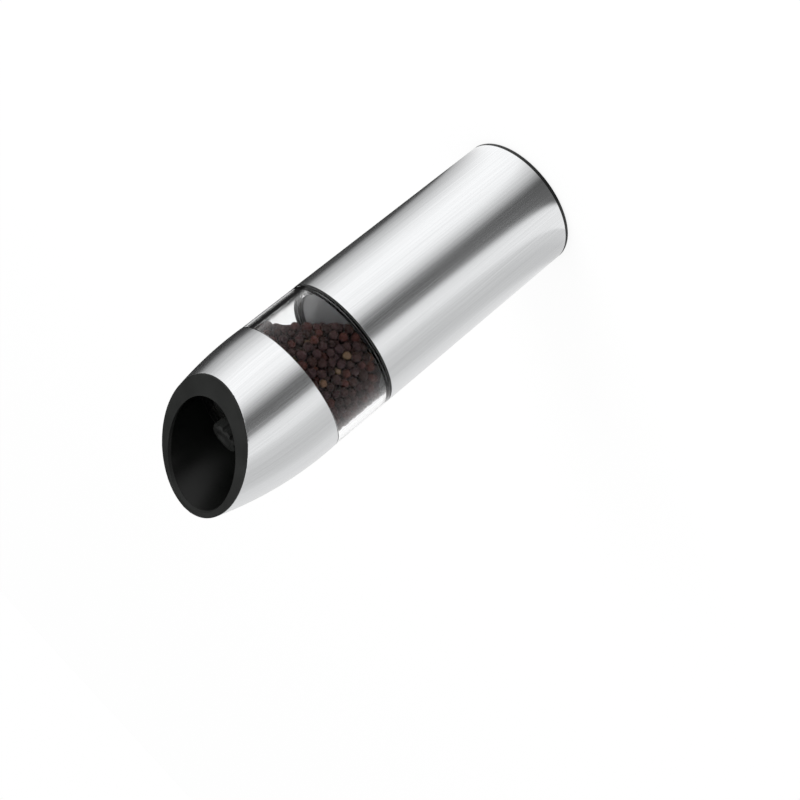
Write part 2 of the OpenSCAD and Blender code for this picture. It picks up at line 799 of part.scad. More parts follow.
// The corns below the outer layer are left as one core
module peppercorns() color("#3F302C") {
  core_r = corn_ring_r - corn_r - corn_room;
  difference() {
    rotate_extrude() polygon([
      [sleeve_tube_r + corn_room, floor_top + corn_room],
      [neck_in - corn_room, floor_top + corn_room], [neck_in - corn_room, window_z],
      [core_r, window_z + window_wall], [core_r, hopper_z - corn_room],
      [stator_feed_r, burr_z - hopper_lip - corn_room],
      [sleeve_tube_r + corn_room, burr_z - hopper_lip - corn_room]
    ]);
    rotate(lean_turn) rotate([0, lean_tip, 0])
      translate([-far, -far, corn_level - corn_pitch]) cube([2 * far, 2 * far, far]);
  }
  wall_corns();
  face_corns();
}

// ---------------------------------------------------------------- head: grinder

// A straight V-shaped cutter, point down its -X side, centred on the origin along Z
module groove_cutter(deep, half_w, len) {
  translate([0, 0, -len / 2]) linear_extrude(len)
    polygon([[-deep, 0], [deep, -2 * half_w], [deep, 2 * half_w]]);
}

// Slanted grooves round a conical stretch of surface from (r0, z0) to (r1, z1)
module grooves(n, r0, z0, r1, z1, skew, deep, half_w, inward) {
  lean = atan2(r1 - r0, z1 - z0);
  len = norm([r1 - r0, z1 - z0]);
  around(n) translate([(r0 + r1) / 2, 0, (z0 + z1) / 2]) rotate([0, lean, 0])
    rotate([skew, 0, 0]) mirror([inward ? 1 : 0, 0, 0]) groove_cutter(deep, half_w, len);
}

module grinding_ring() color("#E9E6DE") difference() {
  rotate_extrude() polygon([
    [stator_r, burr_z], [stator_r, burr_top], [cone_r + grind_gap, burr_top],
    [throat_cone_r + grind_gap, throat_z], [stator_feed_r, burr_z]
  ]);
  grooves(ring_coarse, stator_feed_r, burr_z - 2, throat_cone_r + grind_gap, throat_z + 1,
          ring_coarse_skew, ring_coarse_deep, ring_coarse_half_w, true);
  grooves(ring_fine, throat_cone_r + grind_gap, throat_z, cone_r + grind_gap, burr_top + 1,
          -fine_skew, fine_deep, fine_half_w, true);
}

module grinding_cone() color("#EFECE4") difference() {
  rotate_extrude() polygon([
    [0, burr_z], [cone_tip_r, burr_z], [throat_cone_r, throat_z],
    [cone_r, burr_top], [0, burr_top]
  ]);
  hex(shaft_af + 2 * run, burr_z - 1, burr_top + 1);
  grooves(cone_coarse, cone_tip_r, burr_z - 2, throat_cone_r, throat_z,
          -coarse_skew, coarse_deep, coarse_half_w, false);
  grooves(cone_fine, throat_cone_r, throat_z, cone_r, burr_top + 1,
          fine_skew, fine_deep, fine_half_w, false);
}

// Moulded hopper that leads the corns in and holds the grinding ring
module grinder_housing() color("#2C2D2F") difference() {
  rib = [5, 1.2, burr_top - hopper_z - 8];
  rib_in = 0.4;
  rib_up = 2.2;
  union() {
    rotate_extrude() polygon([
      [window_in - slip, hopper_z], [housing_r, hopper_z], [housing_r, hopper_z + flange_t],
      [housing_r - flange_w, hopper_z + flange_t],
      [stator_r + socket_wall, burr_z + hopper_wall], [stator_r + socket_wall, burr_top],
      [stator_r + run, burr_top], [stator_r + run, burr_z], [stator_feed_r, burr_z],
      [stator_feed_r, burr_z - hopper_lip]
    ]);
    around(3, screw_ring_r, 60) disc(screw_ear_r, hopper_z + flange_t + gap, burr_top);
    around(6, 0, 30) translate([stator_r + socket_wall - rib_in, -rib.y / 2, hopper_z + rib_up])
      cube(rib);
  }
  around(3, screw_ring_r, 60) disc(pilot_r, burr_top - pilot_deep, burr_top + 1);
}

module cone_spring() color("#B9BCBF") {
  sides = 8;
  per_turn = 16;
  rings = spring_turns * per_turn;
  rise = burr_z - spring_z - spring_wire;
  wire_r = spring_wire / 2;
  points = [for (i = [0 : rings]) for (k = [0 : sides - 1])
    let (turn = i * 360 / per_turn, a = k * 360 / sides,
         r = spring_r + wire_r * cos(a), z = spring_z + wire_r + rise * i / rings)
    [r * cos(turn), r * sin(turn), z + wire_r * sin(a)]];
  skin = [for (i = [0 : rings - 1]) for (k = [0 : sides - 1])
    let (a = i * sides + k, b = i * sides + (k + 1) % sides)
    [a, a + sides, b + sides, b]];
  polyhedron(points, concat(skin, [[for (k = [0 : sides - 1]) k]],
    [[for (k = [sides - 1 : -1 : 0]) rings * sides + k]]));
}

// ---------------------------------------------------------------- head: grind adjuster

module adjuster_bridge() color("#2C2D2F") difference() {
  union() {
    tube(stator_r + socket_wall, cone_r + grind_gap + 0.6, burr_top, bridge_top);
    around(3, screw_ring_r, 60) disc(screw_ear_r, burr_top, burr_top + screw_ear_t);
    around(3, 0, 60) translate([stator_r, -screw_ear_r, burr_top])
      cube([screw_ring_r - stator_r, 2 * screw_ear_r, screw_ear_t]);
    around(3, 0, arm_turn) translate([bridge_hub_r - 1, -arm_w / 2, arm_z])
      cube([stator_r - bridge_hub_r, arm_w, bridge_top - arm_z]);
    disc(bridge_hub_r, arm_z, bridge_hub_top);
  }
  bar([bush_sq + 2 * slip, bush_sq + 2 * slip, far], arm_z - far / 2);
  disc(knob_neck_r + run, neck_seat_z - gap, bridge_hub_top + 1);
  disc(knob_neck_r + 0.5, neck_seat_z - gap, neck_seat_z + 1);
  around(3, screw_ring_r, 60) disc(pilot_r + gap, burr_top - 1, bridge_top);
}

module bridge_screws() color("#8E9092") around(3, screw_ring_r, 60)
  screw(burr_top + screw_ear_t, bridge_screw_len, pilot_r - run);

// Keyed bush: the knob's thread moves it along the axis and it bears on the cone
module adjuster_bush() color("#D8D4C8") difference() {
  union() {
    disc(bush_flange_r, burr_top, burr_top + bush_flange_t);
    bar([bush_sq, bush_sq, bush_sq_top - burr_top], burr_top);
    disc(bush_stem_r, burr_top, bush_top);
  }
  disc(shaft_pin_r + run, burr_top - 1, burr_top + shaft_pin_up + gap);
}

module adjuster_knob() color("#303133") difference() {
  clip_out = 0.35;
  clip_h = 0.8;
  grip_r = 1.3;
  grip_out = 0.7;
  union() {
    disc(knob_r, knob_z, knob_top - knob_bevel);
    translate([0, 0, knob_top - knob_bevel - eps])
      cylinder(r1 = knob_r, r2 = knob_r - knob_bevel, h = knob_bevel + eps);
    disc(knob_neck_r, neck_seat_z, knob_z + eps);
    disc(knob_neck_r + clip_out, neck_seat_z, neck_seat_z + clip_h);
  }
  disc(bush_stem_r + run, neck_seat_z - 1, bush_top + grind_travel + gap);
  around(knob_grips, knob_r + grip_out) disc(grip_r, knob_z - 1, knob_top + 1);
  translate([0, 0, knob_top + dish_r - dish_depth]) sphere(r = dish_r);
}

// ---------------------------------------------------------------- head: nose and mouth

// Half section of the nose body, moved in from its outer face
module nose_section(inset) intersection() {
  translate([0, nose_z]) square([body_r - inset, mouth_rise + body_r]);
  translate([body_r - nose_curve_r, nose_z + nose_straight]) circle(r = nose_curve_r - inset, $fn = 720);
}

module nose_body(inset) rotate_extrude() nose_section(inset);

module nose_wall_body(inset, wall) rotate_extrude() difference() {
  nose_section(inset);
  translate([0, -1]) square([body_r - inset - wall, nose_z + nose_straight + 1]);
  nose_section(inset + wall);
}

// Everything past the mouth's plane, with the plane moved back into the nose
module past_mouth(drop = 0) {
  translate([0, 0, mouth_z]) rotate([mouth_slant, 0, 0])
    translate([-far / 2, -far / 2, -drop]) cube(far);
}

module mouth_bore(r, z0) translate([0, -mouth_shift, 0]) disc(r, z0, mouth_z + body_r);

module nose_shell() color("#C4C6C8") difference() {
  nose_wall_body(0, nose_wall);
  past_mouth(ring_lip);
}

module mouth_ring() color("#29292A") difference() {
  union() {
    intersection() {
      nose_body(0);
      past_mouth(ring_lip);
    }
    difference() {
      intersection() {
        nose_wall_body(nose_wall + slip, ring_skirt_t);
        past_mouth(ring_lip + ring_skirt);
      }
      mouth_bore(mouth_r + funnel_wall + slip, nose_z);
    }
  }
  past_mouth(0);
  mouth_bore(mouth_r, nose_z);
}

module outlet_funnel() color("#141414") difference() {
  mouth_bore(mouth_r + funnel_wall, funnel_z);
  mouth_bore(mouth_r + slip, funnel_z + funnel_floor_t);
  disc(funnel_hole_r, funnel_z - 1, funnel_z + funnel_floor_t + 1);
  past_mouth(ring_lip + slip);
}

foot_ring();
base_cap();
battery_tray();
battery_cells();
tray_contacts_lower();
tray_contacts_upper();
main_sleeve();
chassis();
power_strips();
control_board();
tilt_switch_case();
tilt_switch_pins();
tilt_ball();
motor_can();
motor_end_bell();
motor_plate();
motor_screws();
plate_screws();
motor_shaft_sun();
ring_gear_housing();
stage_1_planet_a();
stage_1_planet_b();
stage_1_planet_c();
stage_1_carrier();
stage_2_planet_a();
stage_2_planet_b();
stage_2_planet_c();
stage_2_carrier();
gearbox_cover();
gearbox_screws();
bayonet_collar();
reservoir_floor();
shaft_seal();
seam_seal();
drive_shaft();
shaft_sleeve();
cone_spring();
window_container();
peppercorns();
grinder_housing();
grinding_ring();
grinding_cone();
adjuster_bridge();
bridge_screws();
adjuster_bush();
adjuster_knob();
outlet_funnel();
mouth_ring();
nose_shell();
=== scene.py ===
import math

import bpy
import numpy as np
from mathutils import Matrix, Vector


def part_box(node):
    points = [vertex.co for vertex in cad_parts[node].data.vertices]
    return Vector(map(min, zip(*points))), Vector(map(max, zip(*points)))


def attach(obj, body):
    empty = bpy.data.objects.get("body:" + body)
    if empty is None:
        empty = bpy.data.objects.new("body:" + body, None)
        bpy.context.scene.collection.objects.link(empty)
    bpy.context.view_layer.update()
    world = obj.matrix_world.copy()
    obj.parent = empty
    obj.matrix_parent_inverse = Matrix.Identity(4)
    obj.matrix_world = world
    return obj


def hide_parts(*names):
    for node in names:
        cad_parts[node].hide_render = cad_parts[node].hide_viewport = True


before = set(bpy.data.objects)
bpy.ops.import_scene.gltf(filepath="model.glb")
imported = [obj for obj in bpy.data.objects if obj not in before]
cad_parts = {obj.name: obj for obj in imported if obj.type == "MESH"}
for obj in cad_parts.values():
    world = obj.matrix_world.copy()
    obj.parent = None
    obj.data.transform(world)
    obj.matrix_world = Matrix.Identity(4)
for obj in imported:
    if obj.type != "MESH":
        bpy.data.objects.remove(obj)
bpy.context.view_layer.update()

# ---------------------------------------------------------------- view and studio
# The mill stands on its base. The camera looks down on its window side and is
# rolled until the mouth points to the lower left, as when pepper is poured.
MM = 0.001

bpy.ops.object.select_all(action="DESELECT")
bpy.ops.object.camera_add()
camera = bpy.context.object
camera_place = Vector((-0.28522, -0.35196, 0.27381))
camera_right = Vector((-0.69025, 0.14469, -0.70895))
camera_up = Vector((0.48675, -0.63211, -0.60292))
camera_axes = Matrix((camera_right, camera_up, camera_right.cross(camera_up))).transposed()
camera.matrix_world = Matrix.Translation(camera_place) @ camera_axes.to_4x4()
camera.data.sensor_width = 36
camera.data.lens = 57.03
bpy.context.scene.camera = camera
bpy.context.scene.view_settings.view_transform = "Standard"


def colour(code):
    """A hex colour as the linear red, green, blue and alpha of a shader."""
    parts = [int(code[start:start + 2], 16) / 255 for start in (1, 3, 5)]
    return [part / 12.92 if part <= 0.04045 else ((part + 0.055) / 1.055) ** 2.4
            for part in parts] + [1]


def add(tree, kind, inputs=(), stops=(), **settings):
    """Adds a node. Each input takes a value or another node's output; stops are a ramp's."""
    node = tree.nodes.new("ShaderNode" + kind)
    for name, value in settings.items():
        setattr(node, name, value)
    for socket, value in dict(inputs).items():
        if isinstance(value, bpy.types.NodeSocket):
            tree.links.new(value, node.inputs[socket])
        else:
            node.inputs[socket].default_value = value
    for index, (place, shade) in enumerate(stops):
        element = node.color_ramp.elements
        stop = element[index] if index < 2 else element.new(place)
        stop.position = place
        stop.color = colour(shade) if isinstance(shade, str) else (shade, shade, shade, 1)
    return node


def seen_directly(tree):
    """1 where the camera looks, straight or through a mirror or glass, and 0 for soft light."""
    ray = add(tree, "LightPath").outputs
    seen = add(tree, "Math", {0: ray["Is Camera Ray"], 1: ray["Is Glossy Ray"]}, operation="MAXIMUM")
    return add(tree, "Math", {0: seen.outputs[0], 1: ray["Is Transmission Ray"]},
               operation="MAXIMUM").outputs[0]


# White paper sweep: the sky and the floor are white to the eye, in steel and through the window,
# and a little greyer as a source of light, so that the lamp still models the black plastic.
SKY_LIGHT = 0.95
sky = bpy.data.worlds.new("white studio")
sky.use_nodes = True
bpy.context.scene.world = sky
sky_tree = sky.node_tree
sky_strength = add(sky_tree, "Math", {0: seen_directly(sky_tree), 1: 1 - SKY_LIGHT, 2: SKY_LIGHT},
                   operation="MULTIPLY_ADD")
sky_tree.nodes["Background"].inputs["Color"].default_value = colour("#FFFFFF")
sky_tree.links.new(sky_strength.outputs[0], sky_tree.nodes["Background"].inputs["Strength"])

bpy.ops.object.select_all(action="DESELECT")
bpy.ops.mesh.primitive_plane_add(size=8, location=(0, 0, -0.2 * MM))
floor = bpy.context.object
floor.name = "paper_floor"
bpy.ops.object.transform_apply(location=True)
paper = bpy.data.materials.new("matte white paper")
paper.use_nodes = True
paper_tree = paper.node_tree
paper_tree.nodes.clear()
PAPER_GLOW = 0.88
paper_glow = add(paper_tree, "Math", {0: seen_directly(paper_tree), 1: PAPER_GLOW},
                 operation="MULTIPLY")
paper_mix = add(paper_tree, "MixShader", {
    0: paper_glow.outputs[0],
    1: add(paper_tree, "BsdfDiffuse", {"Color": colour("#FDFDFD")}).outputs[0],
    2: add(paper_tree, "Emission", {"Color": colour("#FFFFFF"), "Strength": 1}).outputs[0]})
add(paper_tree, "OutputMaterial", {"Surface": paper_mix.outputs[0]})
floor.data.materials.append(paper)

# Two round light tents of white cloth with black flags and brighter panels hung in them: metal and
# gloss mirror the first, and the window shows the second. Each has its shades by their bearing
# round the mill, in degrees from the camera's.
TENT_PEAK = 1.5
TENT_HEIGHT = 800
FLOOR_GAP = 0.3
camera_bearing = math.degrees(math.atan2(camera.location.y, camera.location.x))
mirrored_shades = [(-180, 1.0), (-166, 0.9), (-140, 1.0), (-112, 1.0), (-98, 0.82), (-74, 0.8),
                   (-58, 0.92), (-40, 1.2), (-26, 1.2), (-21, 0.2), (2, 0.13), (12, 0.75), (30, 1.4),
                   (60, 1.45), (76, 1.3), (98, 0.85), (118, 0.5), (126, 0.05), (167, 0.01), (173, 0.8)]
window_shades = [(-180, 1.0), (118, 1.0), (124, 0.01), (154, 0.01), (160, 1.0)]
for tent_name, shades, radius in (("mirrored_tent", mirrored_shades, 430),
                                  ("window_tent", window_shades, 420)):
    bpy.ops.object.select_all(action="DESELECT")
    bpy.ops.mesh.primitive_cylinder_add(vertices=96, radius=radius * MM, depth=TENT_HEIGHT * MM,
                                        location=(0, 0, (TENT_HEIGHT / 2 + FLOOR_GAP) * MM))
    tent = bpy.context.object
    tent.name = tent_name
    bpy.ops.object.transform_apply(location=True)
    cloth = bpy.data.materials.new("white cloth of the " + tent_name)
    cloth.use_nodes = True
    cloth_tree = cloth.node_tree
    cloth_tree.nodes.clear()
    tent_place = add(cloth_tree, "TexCoord").outputs["Object"]
    tent_bearing = add(cloth_tree, "TexGradient", {"Vector": tent_place}, gradient_type="RADIAL")
    tent_stops = sorted(((camera_bearing + bearing + 180) % 360 / 360, shade / TENT_PEAK)
                        for bearing, shade in shades)
    tent_shade = add(cloth_tree, "ValToRGB", {"Fac": tent_bearing.outputs[1]}, tent_stops)
    tent_glow = add(cloth_tree, "Emission", {"Color": tent_shade.outputs[0], "Strength": TENT_PEAK})
    add(cloth_tree, "OutputMaterial", {"Surface": tent_glow.outputs[0]})
    tent.data.materials.append(cloth)
    tent.visible_camera = False
    tent.visible_diffuse = False
    tent.visible_shadow = False
    tent.visible_volume_scatter = False
    tent.visible_glossy = shades is mirrored_shades
    tent.visible_transmission = shades is window_shades

# One weak, soft lamp in front of the mill models the black plastic. Metal and gloss don't mirror it.
bpy.ops.object.light_add(type="AREA", location=(250 * MM, -800 * MM, 700 * MM))
lamp = bpy.context.object
lamp.name = "soft_box"
lamp.data.shape = "DISK"
lamp.data.size = 600 * MM
lamp.data.energy = 4
mill_middle = Vector((0, 0, 90 * MM))
lamp.rotation_euler = (lamp.location - mill_middle).to_track_quat("Z", "Y").to_euler()
lamp.visible_glossy = False


# ---------------------------------------------------------------- base cap and foot ring
# The base cap is black ABS, injection-moulded against a spark-eroded mould wall, which leaves a
# fine satin grain. It twists off on a bayonet with a coin, and its foot ring is soft black rubber.
def made_of(name, **constants):
    """A material with its shader's plain settings, and the tree and shader to work on."""
    material = bpy.data.materials.new(name)
    material.use_nodes = True
    shader = material.node_tree.nodes["Principled BSDF"]
    for socket, value in constants.items():
        shader.inputs[socket.replace("_", " ")].default_value = value
    return material, material.node_tree, shader


PATCH = 11.1


def grained(name, dark, light, grain, depth, rough, **constants):
    """A moulded or plated surface: two close colours in patches, over a grain of that size in mm."""
    material, tree, shader = made_of(name, **constants)
    place = add(tree, "TexCoord").outputs["Object"]
    patches = add(tree, "TexNoise", {"Vector": place, "Scale": 1 / (PATCH * MM), "Detail": 4})
    grain_noise = add(tree, "TexNoise", {"Vector": place, "Scale": 1 / (grain * MM), "Detail": 2})
    shade = add(tree, "ValToRGB", {"Fac": patches.outputs[0]}, [(0.35, dark), (0.65, light)])
    gloss = add(tree, "MapRange", {"Value": patches.outputs[0], "From Min": 0.3, "From Max": 0.7,
                                   "To Min": rough - 0.05, "To Max": rough + 0.05})
    relief = add(tree, "Bump", {"Height": grain_noise.outputs[0], "Strength": 1,
                                "Distance": depth * MM})
    tree.links.new(shade.outputs[0], shader.inputs["Base Color"])
    tree.links.new(gloss.outputs[0], shader.inputs["Roughness"])
    tree.links.new(relief.outputs[0], shader.inputs["Normal"])
    return material


def dress(material, *nodes):
    """Gives CAD nodes, whose shape is right, their finish."""
    for name in nodes:
        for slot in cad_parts[name].material_slots:
            slot.material = material


# Spark-eroded ABS: the grain is about 0.1 mm, drawn 0.5 mm so that it shows.
black_abs = grained("spark-eroded black ABS", "#181918", "#1F201F", 0.5, 0.012, 0.5, IOR=1.53,
                    Specular_IOR_Level=0.2)
# Moulded rubber: greyer and duller than the cap.
black_rubber = grained("moulded black rubber", "#1A1A1A", "#222222", 0.4, 0.02, 0.7, IOR=1.52)
dress(black_abs, "base_cap")
dress(black_rubber, "foot_ring")


# ---------------------------------------------------------------- battery tray
# The tray is a cage of charcoal nylon, moulded in one piece, that holds six small cells round a
# column. Leaf contacts of nickel-plated spring steel, stamped and bent, join them in a row.
# Glass-filled nylon: mostly smooth, with a faint mottle from the fibres.
charcoal_nylon = grained("moulded charcoal nylon", "#27282A", "#303133", 0.6, 0.01, 0.5, IOR=1.53)
dress(charcoal_nylon, "battery_tray")

# Shrink film round each cell: glossy, thin, printed plain.
cell_film = grained("grey shrink film", "#5F6E7C", "#677786", 1.2, 0.004, 0.24, IOR=1.54,
                    Coat_Weight=0.4, Coat_Roughness=0.08)
dress(cell_film, "battery_cells")

# Nickel plate on stamped strip: bright, with a soft cloudy haze.
nickel_plate = grained("nickel-plated spring steel", "#B9B7B0", "#C6C4BE", 0.8, 0.004, 0.26,
                       Metallic=1.0)
dress(nickel_plate, "tray_contacts_lower", "tray_contacts_upper", "cone_spring")


# ---------------------------------------------------------------- steel sleeve
# The sleeve is a tube of stainless steel, 0.8 mm thick, that slides over the chassis. It is drawn,
# cut to length and brushed along its axis, so bands of light run up it with soft edges.
def extent(node):
    """Radius, lowest and highest point of a round CAD node, in mm."""
    low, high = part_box(node)
    return high.x / MM, low.z / MM, high.z / MM


def turned(name, rings, segments=256, centre_y=0.0, solid=False):
    """A round piece drawn up ring by ring from (radius, height) pairs in mm, then closed."""
    bpy.ops.object.select_all(action="DESELECT")
    radius, height = rings[0]
    bpy.ops.mesh.primitive_circle_add(vertices=segments, radius=radius * MM,
                                      location=(0, centre_y * MM, height * MM))
    piece = bpy.context.object
    piece.name = piece.data.name = name
    bpy.ops.object.transform_apply(location=True)
    bpy.ops.object.mode_set(mode="EDIT")
    bpy.ops.mesh.select_mode(type="EDGE")
    bpy.ops.mesh.select_all(action="SELECT")
    for next_radius, next_height in rings[1:]:
        bpy.ops.mesh.extrude_region_move(
            TRANSFORM_OT_translate={"value": (0, 0, (next_height - height) * MM)})
        bpy.ops.transform.resize(value=(next_radius / radius, next_radius / radius, 1),
                                 center_override=(0, centre_y * MM, next_height * MM))
        radius, height = next_radius, next_height
    bpy.ops.mesh.select_all(action="DESELECT")
    bpy.ops.mesh.select_non_manifold()
    if solid:
        bpy.ops.mesh.fill_holes(sides=0)
    else:
        bpy.ops.mesh.bridge_edge_loops()
    bpy.ops.mesh.select_all(action="SELECT")
    bpy.ops.mesh.normals_make_consistent(inside=False)
    bpy.ops.object.mode_set(mode="OBJECT")
    return piece


def round_edges(piece, width, segments=3, sharp=35):
    """Rounds every edge sharper than that angle and shades the rest smooth."""
    bpy.context.view_layer.objects.active = piece
    bevel = piece.modifiers.new("edge radius", "BEVEL")
    bevel.width = width * MM
    bevel.segments = segments
    bevel.limit_method = "ANGLE"
    bevel.angle_limit = math.radians(sharp)
    bpy.ops.object.modifier_apply(modifier=bevel.name)
    bpy.ops.object.shade_smooth()
    even = piece.modifiers.new("even shading", "WEIGHTED_NORMAL")
    bpy.ops.object.modifier_apply(modifier=even.name)


sleeve_wall = 0.8
sleeve_radius, sleeve_bottom, sleeve_top = extent("main_sleeve")
sleeve = turned("steel_sleeve", [
    (sleeve_radius, sleeve_bottom), (sleeve_radius, sleeve_top),
    (sleeve_radius - sleeve_wall, sleeve_top), (sleeve_radius - sleeve_wall, sleeve_bottom)])
round_edges(sleeve, 0.2)

# Brushed stainless steel: scratches run along the axis, about 0.1 mm apart, drawn 0.5 mm apart so
# that they show. They blur the reflections sideways and leave them sharper up and down.
brushed_steel, steel_tree, steel_shader = made_of("brushed stainless steel", Metallic=1.0,
                                                  Anisotropic=0.6)
scratch_gap = 0.5
scratch_stretch = 0.008
steel_place = add(steel_tree, "TexCoord").outputs["Object"]
across = add(steel_tree, "VectorMath", {0: steel_place, 1: (1, 1, 0)}, operation="MULTIPLY")
bearing = add(steel_tree, "VectorMath", {0: across.outputs[0]}, operation="NORMALIZE")
around = add(steel_tree, "VectorMath", {0: bearing.outputs[0], "Scale": sleeve_radius * MM},
             operation="SCALE")
along = add(steel_tree, "VectorMath", {0: steel_place, 1: (0, 0, scratch_stretch)},
            operation="MULTIPLY")
brushing = add(steel_tree, "VectorMath", {0: around.outputs[0], 1: along.outputs[0]}, operation="ADD")
scratches = add(steel_tree, "TexNoise", {"Vector": brushing.outputs[0], "Scale": 1 / (scratch_gap * MM),
                                         "Detail": 3, "Roughness": 0.6})
steel_shade = add(steel_tree, "ValToRGB", {"Fac": scratches.outputs[0]},
                  [(0.3, "#CCCDCE"), (0.7, "#D7D8D9")])
steel_gloss = add(steel_tree, "MapRange", {"Value": scratches.outputs[0], "From Min": 0.3,
                                           "From Max": 0.7, "To Min": 0.165, "To Max": 0.23})
steel_relief = add(steel_tree, "Bump", {"Height": scratches.outputs[0], "Strength": 1,
                                        "Distance": 0.0015 * MM})
steel_turn = add(steel_tree, "Tangent", direction_type="RADIAL", axis="Z")
steel_tree.links.new(steel_shade.outputs[0], steel_shader.inputs["Base Color"])
steel_tree.links.new(steel_gloss.outputs[0], steel_shader.inputs["Roughness"])
steel_tree.links.new(steel_relief.outputs[0], steel_shader.inputs["Normal"])
steel_tree.links.new(steel_turn.outputs[0], steel_shader.inputs["Tangent"])
sleeve.data.materials.append(brushed_steel)
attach(sleeve, "motor_unit")
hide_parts("main_sleeve")


# ---------------------------------------------------------------- chassis and tilt switch
# Inside the sleeve a moulded chassis carries the motor bay. Brass strips bring the current up from
# the tray, and a steel ball in a nylon case closes the circuit when the mill is tipped over.
# Rolled brass strip: warm metal with faint tarnish.
brass_strip = grained("rolled brass strip", "#B98F4E", "#C89D5A", 0.7, 0.004, 0.3, Metallic=1.0)
# Fibreglass board under green lacquer: the weave shows as a soft 0.5 mm grain.
board_lacquer = grained("green-lacquered fibreglass board", "#1D5C36", "#24693F", 0.5, 0.01, 0.3,
                        IOR=1.5)
# Natural nylon: milky, slightly translucent, with soft gloss.
natural_nylon = grained("natural moulded nylon", "#DAD4C4", "#E6E1D3", 0.8, 0.008, 0.42, IOR=1.53,
                        Subsurface_Weight=0.15, Subsurface_Scale=0.8 * MM)
# Ground and polished bearing steel: nearly a mirror.
ball_steel = grained("polished bearing steel", "#BFC0C2", "#C8C9CB", 0.6, 0.001, 0.1, Metallic=1.0)
dress(charcoal_nylon, "chassis")
dress(brass_strip, "power_strips", "tilt_switch_pins")
dress(board_lacquer, "control_board")
dress(natural_nylon, "tilt_switch_case")
dress(ball_steel, "tilt_ball")


# ---------------------------------------------------------------- motor and gearbox
# A small flat-sided motor drives two planetary stages of nylon gears. Its can and mounting plate
# are zinc-plated steel, drawn and stamped, and self-tapping screws hold it all to the chassis.
# Zinc plate: bluish, cloudy, less bright than nickel.
zinc_plate = grained("zinc-plated steel", "#A9ACB1", "#B8BBC0", 1.5, 0.006, 0.36, Metallic=1.0)
dress(zinc_plate, "motor_can", "motor_plate", "motor_screws", "plate_screws", "gearbox_screws",
      "bridge_screws", "motor_shaft_sun", "drive_shaft")
dress(natural_nylon, "motor_end_bell", "ring_gear_housing", "gearbox_cover", "stage_1_carrier",
      "stage_2_carrier", "stage_1_planet_a", "stage_1_planet_b", "stage_1_planet_c",
      "stage_2_planet_a", "stage_2_planet_b", "stage_2_planet_c")


# ---------------------------------------------------------------- top of the motor unit
# The bayonet collar and the reservoir's floor close the motor unit. The floor is grey satin ABS,
# and black rubber seals keep pepper dust out of the shaft's hole and the seam of the window.
satin_grey_abs = grained("satin grey ABS", "#98999C", "#A1A2A4", 0.5, 0.01, 0.42, IOR=1.53)
dress(charcoal_nylon, "bayonet_collar", "shaft_sleeve")
dress(satin_grey_abs, "reservoir_floor")
dress(black_rubber, "shaft_seal", "seam_seal")


# ---------------------------------------------------------------- clear pepper window
# The window is a moulded tube of clear acrylic with a wall of 2.6 mm. Its lower neck locks into
# the bayonet collar and its upper neck carries the grinder, so one tube joins the two halves.
window_wall = 2.6
seam_step = 0.1
window_radius = sleeve_radius - seam_step
neck_radius = 24.5
neck_wall = 1.8
rim_rise = 1.3
nose_neck = 2.4
housing_radius, housing_bottom = extent("grinder_housing")[:2]
window_low, window_high = extent("window_container")[1:]
window_bottom = extent("seam_seal")[2]
window_top = window_high - nose_neck
window = turned("acrylic_window", [
    (neck_radius, window_low), (neck_radius, window_bottom), (window_radius, window_bottom),
    (window_radius, window_top), (housing_radius, window_top), (housing_radius, window_high),
    (window_radius - window_wall, window_high), (window_radius - window_wall, window_bottom + rim_rise),
    (neck_radius - neck_wall, window_bottom), (neck_radius - neck_wall, window_low)])
round_edges(window, 0.25)

# Clear acrylic: polished on both faces, with the slight waviness of a moulded tube. The specular
# tint keeps its outer face from mirroring more of the tent than the corns behind it give back.
clear_acrylic, acrylic_tree, acrylic_shader = made_of(
    "clear moulded acrylic", IOR=1.49, Roughness=0.015, Transmission_Weight=1.0,
    Specular_Tint=colour("#555555"))
wave_length = 14.3
acrylic_place = add(acrylic_tree, "TexCoord").outputs["Object"]
waviness = add(acrylic_tree, "TexNoise", {"Vector": acrylic_place, "Scale": 1 / (wave_length * MM),
                                          "Detail": 1})
acrylic_tint = add(acrylic_tree, "ValToRGB", {"Fac": waviness.outputs[0]},
                   [(0.3, "#FBFCFC"), (0.7, "#FFFFFF")])
acrylic_relief = add(acrylic_tree, "Bump", {"Height": waviness.outputs[0], "Strength": 1,
                                            "Distance": 0.02 * MM})
acrylic_tree.links.new(acrylic_tint.outputs[0], acrylic_shader.inputs["Base Color"])
acrylic_tree.links.new(acrylic_relief.outputs[0], acrylic_shader.inputs["Normal"])
window.data.materials.append(clear_acrylic)
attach(window, "head")
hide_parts("window_container")


# ---------------------------------------------------------------- peppercorns
# Dried black peppercorns, about 4 mm across, with a few reddish and tan ones. They have slid to the
# nose end of the window, because the mill is tipped, and their heap ends in a level face.
# They lie between the wall, the shaft's tube, the floor, the sloped rim at the window's foot and the
# hopper's sloped throat. level_up is the way that was up while the mill was tipped.
CORNS = 1300
usual_radius = 1.95
settling = 90
level_up = np.array((0.4551, -0.6749, -0.5809))
level = -50.4
chance = np.random.default_rng(11)
corn_radius = usual_radius * chance.uniform(0.8, 1.1, CORNS)
corn_level = level + chance.uniform(-0.9, 0.6, CORNS)
reservoir_low = extent("reservoir_floor")[2]
reservoir_high = housing_bottom
inner_radius = window_radius - window_wall
tube_radius = 4.6
rim_steep = window_wall / rim_rise
rim_reach = math.hypot(1, rim_steep)
corn_room = 0.1
throat_slope = 0.2
fall = 0.01
push = 0.45

